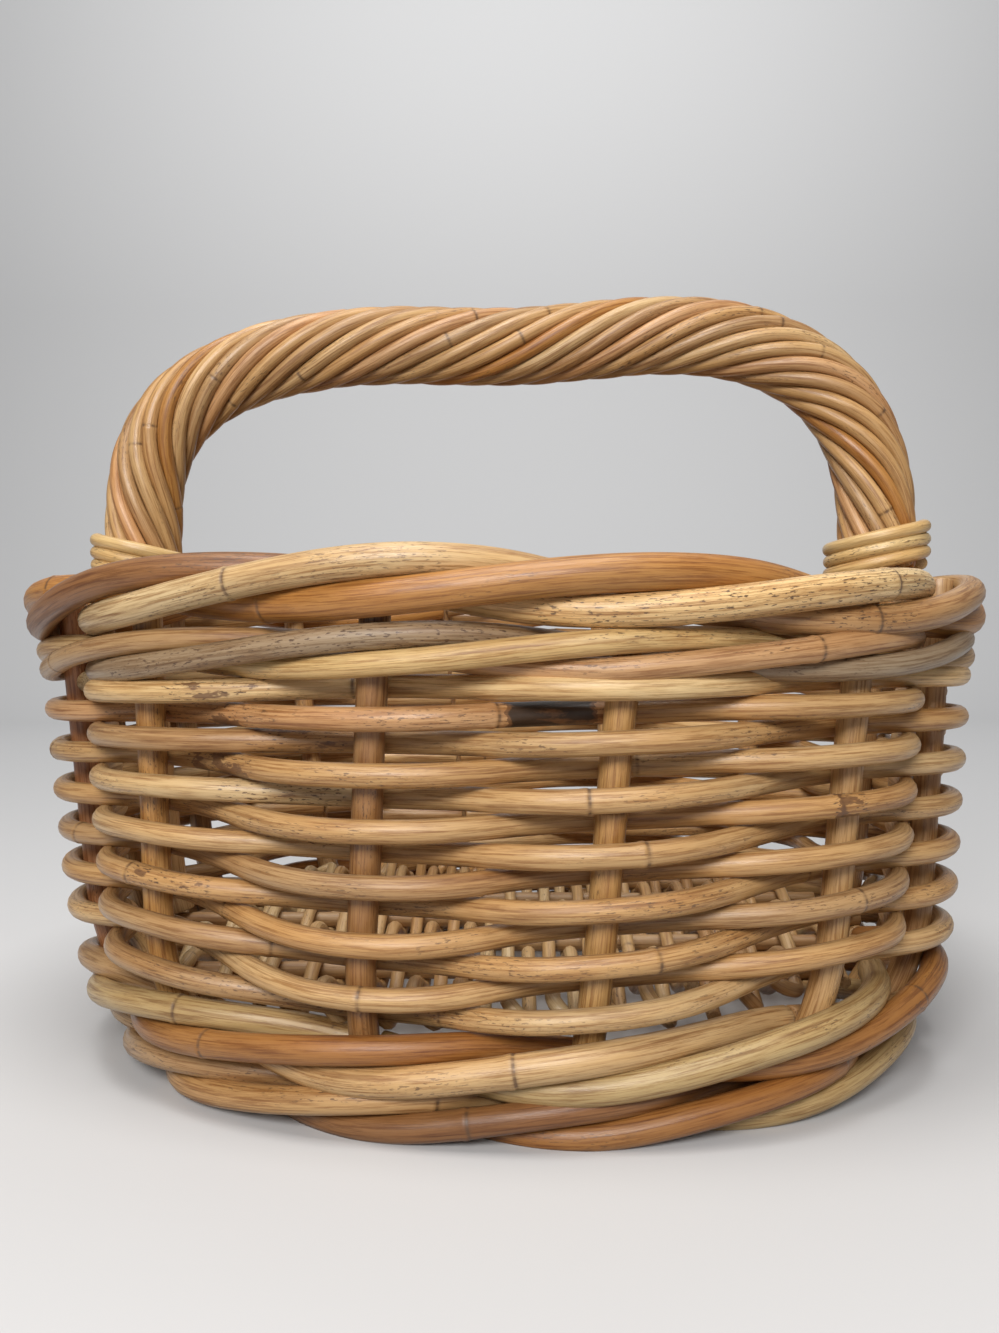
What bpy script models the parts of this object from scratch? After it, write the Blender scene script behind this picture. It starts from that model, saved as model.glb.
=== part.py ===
"""Oval rattan basket with a fixed, rope-twisted bow handle.

The wall is woven round fourteen upright stakes: a foot and a lower band at
the bottom, single rods in front of and behind every other stake up the side,
an upper band, and a thick border. Three rods work together in each band.
A woven floor lies inside on five sticks. The handle is a bent core with
twelve thinner rods wound round it, lashed at each foot, and its ends run
down inside the wall. Nothing on it moves.

Metres, +Z up. The basket stands on z = 0, long side along X, front at -Y.
"""

import math
from bisect import bisect_right

import bmesh
import bpy
from mathutils import Vector

MM = 0.001

# The wall, measured on the ring of stakes
STAKE_COUNT = 14
WALL_HALF_WIDTH = 174 * MM
WALL_HALF_DEPTH = 145 * MM
WIDTH_TAPER = 15 * MM
DEPTH_TAPER = 6 * MM
FOOT_HEIGHT_CURLED = 60 * MM
FOOT_CURL_WIDTH = 24 * MM
FOOT_CURL_DEPTH = 12 * MM
PLAN_EXPONENT = 2.3
EGG_SHARE = 0.05
END_CROWDING_SHARE = 0.014
STAKE_LEAN_SHARE = 0.16
DIRECTION_STEP_SHARE = 0.05  # of the way to the next stake, over which the wall's direction is read

# The rods. A level rod of six sides has an edge uppermost, so its flats are nearer its middle line.
LEVEL_FLATS_SHARE = math.cos(math.pi / 6)
CLEARANCE = 0.3 * MM
WEAVE_CLEARANCE = 0.8 * MM
BUTT_GAP = 4 * MM
STAKE_DIAMETER = 9.6 * MM
SIDE_ROD_DIAMETER = 7.4 * MM
SIDE_ROW_COUNT = 13
FIRST_ROW_GAP = 3 * MM
FOOT_ROD_DIAMETER = 8.8 * MM
LOWER_ROD_DIAMETER = 9.4 * MM
UPPER_ROD_DIAMETER = 7.6 * MM
BORDER_ROD_DIAMETER = 10.6 * MM
FOOT_FLAT_DEPTH = 0.5 * MM
MERGE_DISTANCE = 0.003 * MM

# The floor
FLOOR_STICK_COUNT = 5
FLOOR_STICK_DIAMETER = 7.0 * MM
FLOOR_STICK_SPACING = 38 * MM
FLOOR_ROD_DIAMETER = 5.0 * MM
FLOOR_ROD_PITCH = 10.2 * MM
MIDDLE_STICK_SEAT_SHARE = 0.62

# The handle
TOTAL_HEIGHT = 298 * MM
GRIP_DIAMETER = 31.6 * MM
HANDLE_ROD_DIAMETER = 5.0 * MM
HANDLE_ROD_COUNT = 12
HANDLE_TWIST_PITCH = 164 * MM
HANDLE_TAIL_DIAMETER = 11 * MM
ARCH_EXPONENT = 3.4
LASHING_DIAMETER = 4.6 * MM
LASHING_GAP = 0.5 * MM
LASHING_TURNS = 3

# How finely each line is drawn. The stakes' steps are shorter near the foot, where they curl in.
OUTLINE_STEPS = 720
ARCH_STEPS = 600
FLOOR_OUTLINE_STEPS = 240
STEPS_PER_STAKE = 3
STAKE_STEPS = 6
STAKE_STEP_GROWTH = 1.5
HANDLE_STEPS = 29
TAIL_STEPS = 4
LASHING_STEPS_PER_TURN = 11

# A rod in a three-rod band, at each third of the way from stake to stake: how far out it is from
# the ring of stakes, and how high it is in the band. It passes behind one stake and before two.
BAND_REACH_SHARES = (-1.0, -0.5, 0.45, 1.0, 1.0, 1.0, 1.0, 0.45, -0.5)
BAND_RISE_SHARES = (0.0, -0.4, -0.5, -0.5, -0.4, 0.4, 0.5, 0.5, 0.4)
BAND_STAKES = 3
BAND_RISE = 1.15

# Finishes: colour, roughness
HONEY = ((0.56, 0.36, 0.17), 0.38)
CREAM = ((0.66, 0.48, 0.26), 0.36)
TAN = ((0.50, 0.32, 0.16), 0.42)
ORANGE = ((0.55, 0.25, 0.08), 0.36)
BROWN = ((0.33, 0.13, 0.04), 0.40)
GREY = ((0.38, 0.30, 0.20), 0.48)
STRAW = ((0.54, 0.40, 0.20), 0.40)


class Track:
    """A smooth line kept as short chords, and read by the share of its length."""

    def __init__(self, points):
        self.points = points
        self.reach = [0.0]
        for start, end in zip(points, points[1:]):
            self.reach.append(self.reach[-1] + (end - start).length)
        self.length = self.reach[-1]

    def at(self, share):
        goal = share * self.length
        index = min(max(bisect_right(self.reach, goal) - 1, 0), len(self.points) - 2)
        chord = self.reach[index + 1] - self.reach[index]
        return self.points[index].lerp(self.points[index + 1], (goal - self.reach[index]) / chord)


def signed_power(value, exponent):
    return math.copysign(abs(value) ** exponent, value)


def band_half_height(diameter):
    """Half the height of a three-rod band made of rods of this diameter."""
    return diameter * (BAND_RISE + 1) / 2


def band_reach(diameter):
    """How far the rods of a band or row lie from the ring of stakes."""
    return (STAKE_DIAMETER + diameter) / 2 + WEAVE_CLEARANCE


# Heights, each layer standing on the one below
FOOT_Z = band_half_height(FOOT_ROD_DIAMETER) - FOOT_FLAT_DEPTH
FOOT_TOP = FOOT_Z + band_half_height(FOOT_ROD_DIAMETER)
LOWER_Z = FOOT_TOP + CLEARANCE + band_half_height(LOWER_ROD_DIAMETER)
LOWER_TOP = LOWER_Z + band_half_height(LOWER_ROD_DIAMETER)
ROW_PITCH = SIDE_ROD_DIAMETER + CLEARANCE
FIRST_ROW_Z = LOWER_TOP + FIRST_ROW_GAP + SIDE_ROD_DIAMETER / 2
ROWS_TOP = FIRST_ROW_Z + ROW_PITCH * (SIDE_ROW_COUNT - 1) + SIDE_ROD_DIAMETER / 2
UPPER_Z = ROWS_TOP + CLEARANCE + band_half_height(UPPER_ROD_DIAMETER)
UPPER_TOP = UPPER_Z + band_half_height(UPPER_ROD_DIAMETER)
BORDER_Z = UPPER_TOP + CLEARANCE + band_half_height(BORDER_ROD_DIAMETER)
BORDER_TOP = BORDER_Z + band_half_height(BORDER_ROD_DIAMETER)
STAKE_TOP = BORDER_Z + BORDER_ROD_DIAMETER * BAND_RISE / 2
STAKE_BOTTOM = STAKE_DIAMETER / 2


def wall_outline():
    """The ring of stakes at border height, from the middle of the front round by +X."""
    points = []
    for step in range(OUTLINE_STEPS + 1):
        angle = 2 * math.pi * step / OUTLINE_STEPS
        across = signed_power(math.sin(angle), 2 / PLAN_EXPONENT)
        along = signed_power(math.cos(angle), 2 / PLAN_EXPONENT) * (1 + EGG_SHARE * across)
        points.append(Vector((WALL_HALF_WIDTH * across, -WALL_HALF_DEPTH * along, 0)))
    return Track(points)


OUTLINE = wall_outline()


def wall_half_sizes(height):
    """Half the width and half the depth of the ring of stakes at a height."""
    below = 1 - height / BORDER_Z
    curl = max(0.0, 1 - height / FOOT_HEIGHT_CURLED) ** 2
    half_width = WALL_HALF_WIDTH - WIDTH_TAPER * below - FOOT_CURL_WIDTH * curl
    half_depth = WALL_HALF_DEPTH - DEPTH_TAPER * below - FOOT_CURL_DEPTH * curl
    return half_width, half_depth


def wall_point(place, height):
    """A point on the ring of stakes. The stakes stand at whole-numbered places."""
    lean = STAKE_LEAN_SHARE * (height / BORDER_Z - 1)
    turn = (place + 0.5 + lean) / STAKE_COUNT
    crowded = turn + END_CROWDING_SHARE * math.sin(4 * math.pi * turn)
    flat = OUTLINE.at(crowded % 1)
    half_width, half_depth = wall_half_sizes(height)
    x = flat.x * half_width / WALL_HALF_WIDTH
    y = flat.y * half_depth / WALL_HALF_DEPTH
    return Vector((x, y, height))


def weave_point(place, height, reach):
    """A point that lies reach outside the sloping wall, or inside it where reach is negative."""
    base = wall_point(place, height)
    step = DIRECTION_STEP_SHARE
    ahead = wall_point(place + step, height) - wall_point(place - step, height)
    outward = Vector((ahead.y, -ahead.x, 0)).normalized()
    rise = wall_point(place, height + CLEARANCE) - wall_point(place, height - CLEARANCE)
    slope = rise.dot(outward) / (2 * CLEARANCE)
    return base + outward * reach * math.hypot(1, slope)


def finish(name, look):
    """A plain lacquered-rattan material."""
    colour, roughness = look
    material = bpy.data.materials.new(name)
    material.use_nodes = True
    shader = material.node_tree.nodes["Principled BSDF"]
    shader.inputs["Base Color"].default_value = (*colour, 1)
    shader.inputs["Roughness"].default_value = roughness
    shader.inputs["Metallic"].default_value = 0
    material.diffuse_color = (*colour, 1)
    return material


def rod(name, points, diameter, look, thickness_shares=None, roundness=1, upright=True):
    """A round rod along points, with flat ends. Its sides number 4 + 2 * roundness.

    A level rod of six sides is turned by half a side, so that an edge is uppermost.
    """
    curve = bpy.data.curves.new(name, "CURVE")
    curve.dimensions = "3D"
    curve.twist_mode = "Z_UP" if upright else "MINIMUM"
    curve.bevel_depth = diameter / 2
    curve.bevel_resolution = roundness
    curve.use_fill_caps = True
    spline = curve.splines.new("POLY")
    spline.points.add(len(points) - 1)
    sides = 4 + 2 * roundness
    for index, point in enumerate(points):
        spline.points[index].co = (*point, 1)
        spline.points[index].tilt = math.pi / sides if upright and roundness == 1 else 0
        if thickness_shares:
            spline.points[index].radius = thickness_shares[index]
    spline.use_smooth = True
    curve.materials.append(finish(name + "_rattan", look))
    piece = bpy.data.objects.new(name, curve)
    bpy.context.scene.collection.objects.link(piece)
    piece.parent = BASKET
    return piece


def butted(points, gap):
    """The same line with each end drawn back by half a gap, so that two rods meet end to end."""
    start = points[0] + (points[1] - points[0]).normalized() * gap / 2
    end = points[-1] + (points[-2] - points[-1]).normalized() * gap / 2
    return [start, *points[1:-1], end]


def print_gap_to_itself(name, points, diameter, steps_apart):
    """Prints the least gap between stretches of one wound rod that are steps_apart or more apart."""
    least = min((late - early).length
                for index, early in enumerate(points)
                for late in points[index + steps_apart:])
    print(f"{name}: least gap to itself {(least - diameter) / MM:.2f} mm")


def make_stakes():
    looks = (TAN, HONEY, TAN, HONEY, HONEY, TAN, HONEY)
    leftmost = STAKE_COUNT - 3
    for place in range(STAKE_COUNT):
        points = []
        for step in range(STAKE_STEPS + 1):
            share = (step / STAKE_STEPS) ** STAKE_STEP_GROWTH
            points.append(wall_point(place, STAKE_BOTTOM + (STAKE_TOP - STAKE_BOTTOM) * share))
        look = BROWN if place == leftmost else looks[place % len(looks)]
        rod(f"stake_{place + 1:02d}", points, STAKE_DIAMETER, look, upright=False)


def make_side_rows():
    """Single rods, in front of one stake and behind the next, each opposite to the row below.

    A row's two ends meet at the back, on the inner side of the stake that it passes behind.
    """
    looks = (HONEY, CREAM, HONEY, TAN, STRAW, HONEY, CREAM, HONEY, TAN, HONEY, CREAM, HONEY, TAN)
    reach = band_reach(SIDE_ROD_DIAMETER)
    back = STAKE_COUNT // 2
    for row in range(SIDE_ROW_COUNT):
        above = SIDE_ROW_COUNT - 1 - row
        height = FIRST_ROW_Z + ROW_PITCH * row
        first = back + (back + above + 1) % 2
        points = []
        for step in range(STAKE_COUNT * STEPS_PER_STAKE + 1):
            place = first + step / STEPS_PER_STAKE
            points.append(weave_point(place, height, reach * math.cos(math.pi * (place + above))))
        look = looks[row % len(looks)]
        rod(f"side_rod_{row + 1:02d}", butted(points, BUTT_GAP), SIDE_ROD_DIAMETER, look)


def make_band(name, height, diameter, looks, first_place, roundness=1):
    """A band of three rods, each starting one stake after the last, behind a stake.

    Once round, every rod stops where the next one starts, so the three make one long line.
    """
    pieces = []
    for number in range(BAND_STAKES):
        stakes = next(end for end in range(STAKE_COUNT, STAKE_COUNT + BAND_STAKES)
                      if (end - number) % BAND_STAKES == 0) - number
        points = []
        for step in range(stakes * STEPS_PER_STAKE + 1):
            place = first_place + number + step / STEPS_PER_STAKE
            third = step % len(BAND_REACH_SHARES)
            rise = diameter * BAND_RISE * BAND_RISE_SHARES[third]
            reach = band_reach(diameter) * BAND_REACH_SHARES[third]
            points.append(weave_point(place, height + rise, reach))
        pieces.append(rod(f"{name}_rod_{number + 1}", butted(points, BUTT_GAP), diameter,
                          looks[number], roundness=roundness))
    return pieces


def cut_foot_flat(piece):
    """Turns a foot rod into a mesh and planes its underside level, where it stands."""
    bpy.context.view_layer.update()
    round_rod = piece.evaluated_get(bpy.context.evaluated_depsgraph_get())
    mesh = bpy.data.meshes.new_from_object(round_rod)
    body = bmesh.new()
    body.from_mesh(mesh)
    bmesh.ops.remove_doubles(body, verts=body.verts, dist=MERGE_DISTANCE)
    everything = body.verts[:] + body.edges[:] + body.faces[:]
    cut = bmesh.ops.bisect_plane(body, geom=everything, plane_co=(0, 0, 0), plane_no=(0, 0, -1),
                                 clear_outer=True)
    rim = [part for part in cut["geom_cut"] if isinstance(part, bmesh.types.BMEdge)]
    bmesh.ops.edgeloop_fill(body, edges=rim)
    bmesh.ops.recalc_face_normals(body, faces=body.faces)
    body.to_mesh(mesh)
    body.free()
    name = piece.name
    bpy.data.objects.remove(piece)
    flat = bpy.data.objects.new(name, mesh)
    bpy.context.scene.collection.objects.link(flat)
    flat.parent = BASKET


def make_bands():
    back = STAKE_COUNT // 2
    foot = make_band("foot", FOOT_Z, FOOT_ROD_DIAMETER, (ORANGE, TAN, BROWN), back)
    for piece in foot:
        cut_foot_flat(piece)
    make_band("lower_band", LOWER_Z, LOWER_ROD_DIAMETER, (ORANGE, CREAM, STRAW), back + 1)
    make_band("upper_band", UPPER_Z, UPPER_ROD_DIAMETER, (ORANGE, GREY, STRAW), back)
    make_band("border", BORDER_Z, BORDER_ROD_DIAMETER, (CREAM, ORANGE, STRAW), back + 1,
              roundness=2)


# The floor, on sticks that reach to the rods of the lower band
FLOOR_REACH = (FLOOR_STICK_DIAMETER + FLOOR_ROD_DIAMETER) / 2 + WEAVE_CLEARANCE
FLOOR_Z = LOWER_TOP + CLEARANCE - FLOOR_STICK_DIAMETER / 2
FLOOR_INSET = band_reach(LOWER_ROD_DIAMETER) + LOWER_ROD_DIAMETER / 2 + CLEARANCE


def floor_outline():
    """The line that the floor may fill, just inside the lower band."""
    return [weave_point(STAKE_COUNT * step / FLOOR_OUTLINE_STEPS, FLOOR_Z, -FLOOR_INSET)
            for step in range(FLOOR_OUTLINE_STEPS + 1)]


FLOOR_OUTLINE = floor_outline()


def floor_span(along, value):
    """The two ends of a line across the floor: 0 is along X at y = value, 1 along Y at x = value."""
    across = 1 - along
    ends = []
    for start, end in zip(FLOOR_OUTLINE, FLOOR_OUTLINE[1:]):
        if (start[across] - value) * (end[across] - value) <= 0 and start[across] != end[across]:
            share = (value - start[across]) / (end[across] - start[across])
            ends.append(start[along] + (end[along] - start[along]) * share)
    return min(ends), max(ends)


def stick_rows():
    middle = (FLOOR_STICK_COUNT - 1) / 2
    return [(number - middle) * FLOOR_STICK_SPACING for number in range(FLOOR_STICK_COUNT)]


def make_floor_sticks():
    """Straight sticks along X. The middle one reaches out over the inner rods of the lower band."""
    seat = LOWER_ROD_DIAMETER * MIDDLE_STICK_SEAT_SHARE
    for number, y in enumerate(stick_rows()):
        sides = (y - FLOOR_STICK_DIAMETER / 2, y + FLOOR_STICK_DIAMETER / 2)
        spans = [floor_span(0, side) for side in sides]
        left = max(span[0] for span in spans)
        right = min(span[1] for span in spans)
        if y == 0:
            left, right = left - seat, right + seat
        ends = [Vector((left, y, FLOOR_Z)), Vector((right, y, FLOOR_Z))]
        rod(f"floor_stick_{number + 1}", ends, FLOOR_STICK_DIAMETER, TAN)


def clear_of_sticks(y, turn_room):
    """Draws the end of a pass in to this side of a stick that it would reach but not cross."""
    pass_end = abs(y)
    over_room = 2 * FLOOR_REACH
    under_room = FLOOR_STICK_DIAMETER / 2 + turn_room + CLEARANCE
    for row in stick_rows():
        if row - under_room < pass_end < row + over_room:
            pass_end = row - under_room
    return math.copysign(pass_end, y)


def make_floor_weave():
    """One thin rod to and fro across the sticks, over and under, turning round at each side."""
    turn = FLOOR_ROD_PITCH / 2
    turn_room = turn + FLOOR_ROD_DIAMETER / 2
    left, right = floor_span(0, 0)
    passes = int((right - left - 4 * turn_room) / FLOOR_ROD_PITCH) + 1
    middle = (passes - 1) / 2
    places = [(left + right) / 2 + (number - middle) * FLOOR_ROD_PITCH for number in range(passes)]
    room = []
    for x in places:
        spans = [floor_span(1, side) for side in (x - turn_room, x, x + turn_room)]
        front = max(span[0] for span in spans) + turn_room
        back = min(span[1] for span in spans) - turn_room
        room.append((-clear_of_sticks(front, turn_room), clear_of_sticks(back, turn_room)))
    points = []
    for number, x in enumerate(places):
        onward = 1 if number % 2 == 0 else -1
        mates = [min(max(number + step, 0), passes - 1) for step in (-onward, onward)]
        front, back = (min(room[number][side], room[mates[side]][side]) for side in (0, 1))
        line = [Vector((x, -front, FLOOR_Z))]
        for y in stick_rows():
            if -front < y < back:
                over = 1 if (round(y / FLOOR_STICK_SPACING) + number) % 2 else -1
                line.append(Vector((x, y, FLOOR_Z + over * FLOOR_REACH)))
        line.append(Vector((x, back, FLOOR_Z)))
        if onward < 0:
            line.reverse()
        if points:
            points.append(Vector((x - turn, line[0].y - onward * turn, FLOOR_Z)))
        points.extend(line)
    rod("floor_weaving_rod", points, FLOOR_ROD_DIAMETER, CREAM, roundness=0, upright=False)


# The handle stands just inside the border, and its two tails run down the wall to the floor
TAIL_SEAT = (BORDER_ROD_DIAMETER + HANDLE_TAIL_DIAMETER) / 2 * LEVEL_FLATS_SHARE
HANDLE_INSET = band_reach(BORDER_ROD_DIAMETER) + TAIL_SEAT
HANDLE_FOOT_Z = BORDER_TOP + CLEARANCE + HANDLE_ROD_DIAMETER / 2
HANDLE_HALF_SPAN = wall_half_sizes(BORDER_Z)[0] - HANDLE_INSET
ARCH_HEIGHT = TOTAL_HEIGHT - GRIP_DIAMETER / 2 - HANDLE_FOOT_Z
TWIST_RADIUS = (GRIP_DIAMETER - HANDLE_ROD_DIAMETER) / 2
CORE_DIAMETER = GRIP_DIAMETER - 2 * (HANDLE_ROD_DIAMETER + WEAVE_CLEARANCE)
TAIL_BOTTOM = FLOOR_Z + FLOOR_STICK_DIAMETER / 2 + WEAVE_CLEARANCE + CLEARANCE


def handle_arch():
    """The middle line of the handle, from its left foot over to its right foot."""
    points = []
    for step in range(ARCH_STEPS + 1):
        angle = math.pi * (1 - step / ARCH_STEPS)
        across = signed_power(math.cos(angle), 2 / ARCH_EXPONENT)
        up = max(0.0, math.sin(angle)) ** (2 / ARCH_EXPONENT)
        points.append(Vector((HANDLE_HALF_SPAN * across, 0, HANDLE_FOOT_Z + ARCH_HEIGHT * up)))
    return Track(points)


ARCH = handle_arch()


def tail_points():
    """One tail, from the floor up to just below the foot of the arch, for the +X side."""
    top = HANDLE_FOOT_Z - HANDLE_ROD_DIAMETER / 2
    points = []
    for step in range(TAIL_STEPS + 1):
        height = TAIL_BOTTOM + (top - TAIL_BOTTOM) * step / TAIL_STEPS
        points.append(Vector((wall_half_sizes(min(height, BORDER_Z))[0] - HANDLE_INSET, 0, height)))
    return points


def make_handle_core():
    right = tail_points()
    left = [Vector((-point.x, 0, point.z)) for point in right]
    arch = [ARCH.at(step / HANDLE_STEPS) for step in range(HANDLE_STEPS + 1)]
    tail_share = HANDLE_TAIL_DIAMETER / CORE_DIAMETER
    thickness = [tail_share] * len(left) + [1] * len(arch) + [tail_share] * len(right)
    line = left + arch + right[::-1]
    rod("handle_core", line, CORE_DIAMETER, TAN, thickness, upright=False)


def twist_point(share, start_angle):
    """A point on a rod that winds round the arch, and climbs towards +X across its front."""
    centre = ARCH.at(share)
    half_span = 1 / (4 * HANDLE_STEPS)
    ahead, behind = ARCH.at(min(share + half_span, 1)), ARCH.at(max(share - half_span, 0))
    along = (ahead - behind).normalized()
    outward = Vector((-along.z, 0, along.x))
    front = Vector((0, -1, 0))
    angle = start_angle - 2 * math.pi * share * ARCH.length / HANDLE_TWIST_PITCH
    return centre + (outward * math.cos(angle) + front * math.sin(angle)) * TWIST_RADIUS


def make_handle_rods():
    looks = (HONEY, ORANGE, TAN, CREAM, HONEY, STRAW)
    half_turn = int(HANDLE_STEPS * HANDLE_TWIST_PITCH / ARCH.length / 2)
    for number in range(HANDLE_ROD_COUNT):
        name = f"handle_rod_{number + 1:02d}"
        start_angle = 2 * math.pi * number / HANDLE_ROD_COUNT
        points = [twist_point(step / HANDLE_STEPS, start_angle)
                  for step in range(HANDLE_STEPS + 1)]
        print_gap_to_itself(name, points, HANDLE_ROD_DIAMETER, half_turn)
        look = looks[number % len(looks)]
        rod(name, points, HANDLE_ROD_DIAMETER, look, roundness=0, upright=False)


def make_lashings():
    """A thin rod wound round each foot of the handle, resting on the border."""
    flats = math.cos(math.pi / LASHING_STEPS_PER_TURN)
    radius = ((GRIP_DIAMETER + LASHING_DIAMETER) / 2 + CLEARANCE) / flats
    pitch = LASHING_DIAMETER + LASHING_GAP
    bottom = BORDER_TOP + CLEARANCE + LASHING_DIAMETER / 2
    for side, name in ((-1, "lashing_left"), (1, "lashing_right")):
        points = []
        for step in range(LASHING_TURNS * LASHING_STEPS_PER_TURN + 1):
            turn = step / LASHING_STEPS_PER_TURN
            angle = 2 * math.pi * turn
            x = side * (HANDLE_HALF_SPAN + radius * math.cos(angle))
            points.append(Vector((x, radius * math.sin(angle), bottom + pitch * turn)))
        print_gap_to_itself(name, points, LASHING_DIAMETER, LASHING_STEPS_PER_TURN // 2)
        rod(name, points, LASHING_DIAMETER, STRAW, roundness=0, upright=True)


for old in list(bpy.context.scene.objects):
    bpy.data.objects.remove(old)

BASKET = bpy.data.objects.new("basket", None)
bpy.context.scene.collection.objects.link(BASKET)

make_stakes()
make_side_rows()
make_bands()
make_floor_sticks()
make_floor_weave()
make_handle_core()
make_handle_rods()
make_lashings()
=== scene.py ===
import itertools
import math
import random
from bisect import bisect_right

import bmesh
import bpy
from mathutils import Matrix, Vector, noise


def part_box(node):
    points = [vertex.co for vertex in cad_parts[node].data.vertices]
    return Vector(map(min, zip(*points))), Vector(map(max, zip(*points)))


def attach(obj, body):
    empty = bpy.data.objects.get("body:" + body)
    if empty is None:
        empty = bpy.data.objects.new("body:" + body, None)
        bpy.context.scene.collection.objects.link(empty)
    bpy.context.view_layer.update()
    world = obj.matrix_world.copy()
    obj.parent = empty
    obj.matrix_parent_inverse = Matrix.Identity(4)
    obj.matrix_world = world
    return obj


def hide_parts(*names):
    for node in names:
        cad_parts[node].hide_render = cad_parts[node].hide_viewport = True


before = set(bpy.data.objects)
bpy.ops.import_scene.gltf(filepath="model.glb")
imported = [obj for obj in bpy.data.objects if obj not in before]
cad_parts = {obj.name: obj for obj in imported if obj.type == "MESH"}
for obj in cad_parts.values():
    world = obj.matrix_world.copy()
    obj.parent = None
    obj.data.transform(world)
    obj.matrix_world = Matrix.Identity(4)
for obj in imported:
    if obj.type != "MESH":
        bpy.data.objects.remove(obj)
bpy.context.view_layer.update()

# Fourteen upright stakes of round rattan, each as thick as a finger, carry the whole basket. They
# stand in an oval ring, curl in at the foot and lean a little as they rise. Their tops are caught
# in the border. Everything else is woven round them.
MM = 0.001
STAKE_COUNT = 14
STAKE_THICKNESS = 9.8 * MM
STAKE_BOTTOM = 4.9 * MM
STAKE_TOP = 176 * MM
WALL_HALF_WIDTH = 174 * MM
WALL_HALF_DEPTH = 145 * MM
WIDTH_TAPER = 15 * MM
DEPTH_TAPER = 6 * MM
FOOT_HEIGHT_CURLED = 60 * MM
FOOT_CURL_WIDTH = 24 * MM
FOOT_CURL_DEPTH = 12 * MM
RIM_HEIGHT = 170 * MM
RIGHT_RIM_DRAWN_IN = 6 * MM
FRONT_FOOT_SPREAD = 4 * MM
PLAN_EXPONENT = 2.3
EGG_SHARE = 0.05
END_CROWDING_SHARE = 0.014
STAKE_LEAN_SHARE = 0.16
# How far each stake stands off its place, as a share of the way to the next.
STAKE_SHIFTS = (-0.04, 0.0, 0.0, 0.0, 0.0, 0.0, 0.0, 0.0, 0.0, 0.0, 0.0, 0.0, 0.0, 0.05)
OUTLINE_STEPS = 1440


class Line:
    """A smooth line kept as short chords, and read by the distance along it."""

    def __init__(self, points):
        self.points = points
        self.reach = [0.0]
        for start, end in zip(points, points[1:]):
            self.reach.append(self.reach[-1] + (end - start).length)
        self.length = self.reach[-1]

    def at(self, distance):
        """The point that lies a distance along the line."""
        index = min(max(bisect_right(self.reach, distance) - 1, 0), len(self.points) - 2)
        chord = self.reach[index + 1] - self.reach[index]
        share = (distance - self.reach[index]) / chord
        return self.points[index].lerp(self.points[index + 1], share)


def signed_power(value, exponent):
    """A power of the number's size that keeps its sign."""
    return math.copysign(abs(value) ** exponent, value)


def wall_outline():
    """The ring of stakes at the rim, from the middle of the front round by +X."""
    points = []
    for step in range(OUTLINE_STEPS + 1):
        angle = 2 * math.pi * step / OUTLINE_STEPS
        across = signed_power(math.sin(angle), 2 / PLAN_EXPONENT)
        along = signed_power(math.cos(angle), 2 / PLAN_EXPONENT) * (1 + EGG_SHARE * across)
        points.append(Vector((WALL_HALF_WIDTH * across, -WALL_HALF_DEPTH * along, 0)))
    return Line(points)


outline = wall_outline()


def wall_half_sizes(height):
    """Half the width and half the depth of the ring of stakes at a height."""
    below = 1 - height / RIM_HEIGHT
    curl = max(0.0, 1 - height / FOOT_HEIGHT_CURLED) ** 2
    half_width = WALL_HALF_WIDTH - WIDTH_TAPER * below - FOOT_CURL_WIDTH * curl
    half_depth = WALL_HALF_DEPTH - DEPTH_TAPER * below - FOOT_CURL_DEPTH * curl
    return half_width, half_depth


def smooth_value(values, place):
    """Reads a ring of values, one at each stake, with a smooth curve between them."""
    index = math.floor(place)
    step = place - index
    before, here, after, later = (values[(index + k) % len(values)] for k in (-1, 0, 1, 2))
    start_slope = (after - before) / 2
    end_slope = (later - here) / 2
    rise = after - here
    square = 3 * rise - 2 * start_slope - end_slope
    cube = start_slope + end_slope - 2 * rise
    return here + start_slope * step + square * step ** 2 + cube * step ** 3


def wall_point(place, height):
    """A point on the ring of stakes. Stakes stand at whole-numbered places, 0 right of the middle."""
    lean = STAKE_LEAN_SHARE * (height / RIM_HEIGHT - 1)
    turn = (place + smooth_value(STAKE_SHIFTS, place) + 0.5 + lean) / STAKE_COUNT
    crowded = turn + END_CROWDING_SHARE * math.sin(4 * math.pi * turn)
    flat = outline.at(crowded % 1 * outline.length)
    half_width, half_depth = wall_half_sizes(height)
    if flat.x > 0:
        half_width -= RIGHT_RIM_DRAWN_IN * height / RIM_HEIGHT
    if flat.y < 0:
        half_depth += FRONT_FOOT_SPREAD * max(0.0, 1 - height / FOOT_HEIGHT_CURLED) ** 2
    return Vector((flat.x * half_width / WALL_HALF_WIDTH, flat.y * half_depth / WALL_HALF_DEPTH, height))


def weave_point(place, height, reach):
    """A point that lies reach outside the wall's middle surface, or inside where reach is negative."""
    near = 0.05
    ahead = wall_point(place + near, height) - wall_point(place - near, height)
    outward = Vector((ahead.y, -ahead.x, 0)).normalized()
    return wall_point(place, height) + outward * reach


ROD_SIDES = 16
RING_SPACING = 2.6 * MM
END_ROUNDING = 0.6 * MM
KNOT_SPACING = 260 * MM
LAST_KNOT_FROM_END = 6 * MM
# Where knots are left to chance, the least and greatest share of their spacing that a rod has
# before its first knot, and between two knots.
FIRST_KNOT_SHARES, NEXT_KNOT_SHARES = (0.1, 0.9), (0.7, 1.25)
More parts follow.
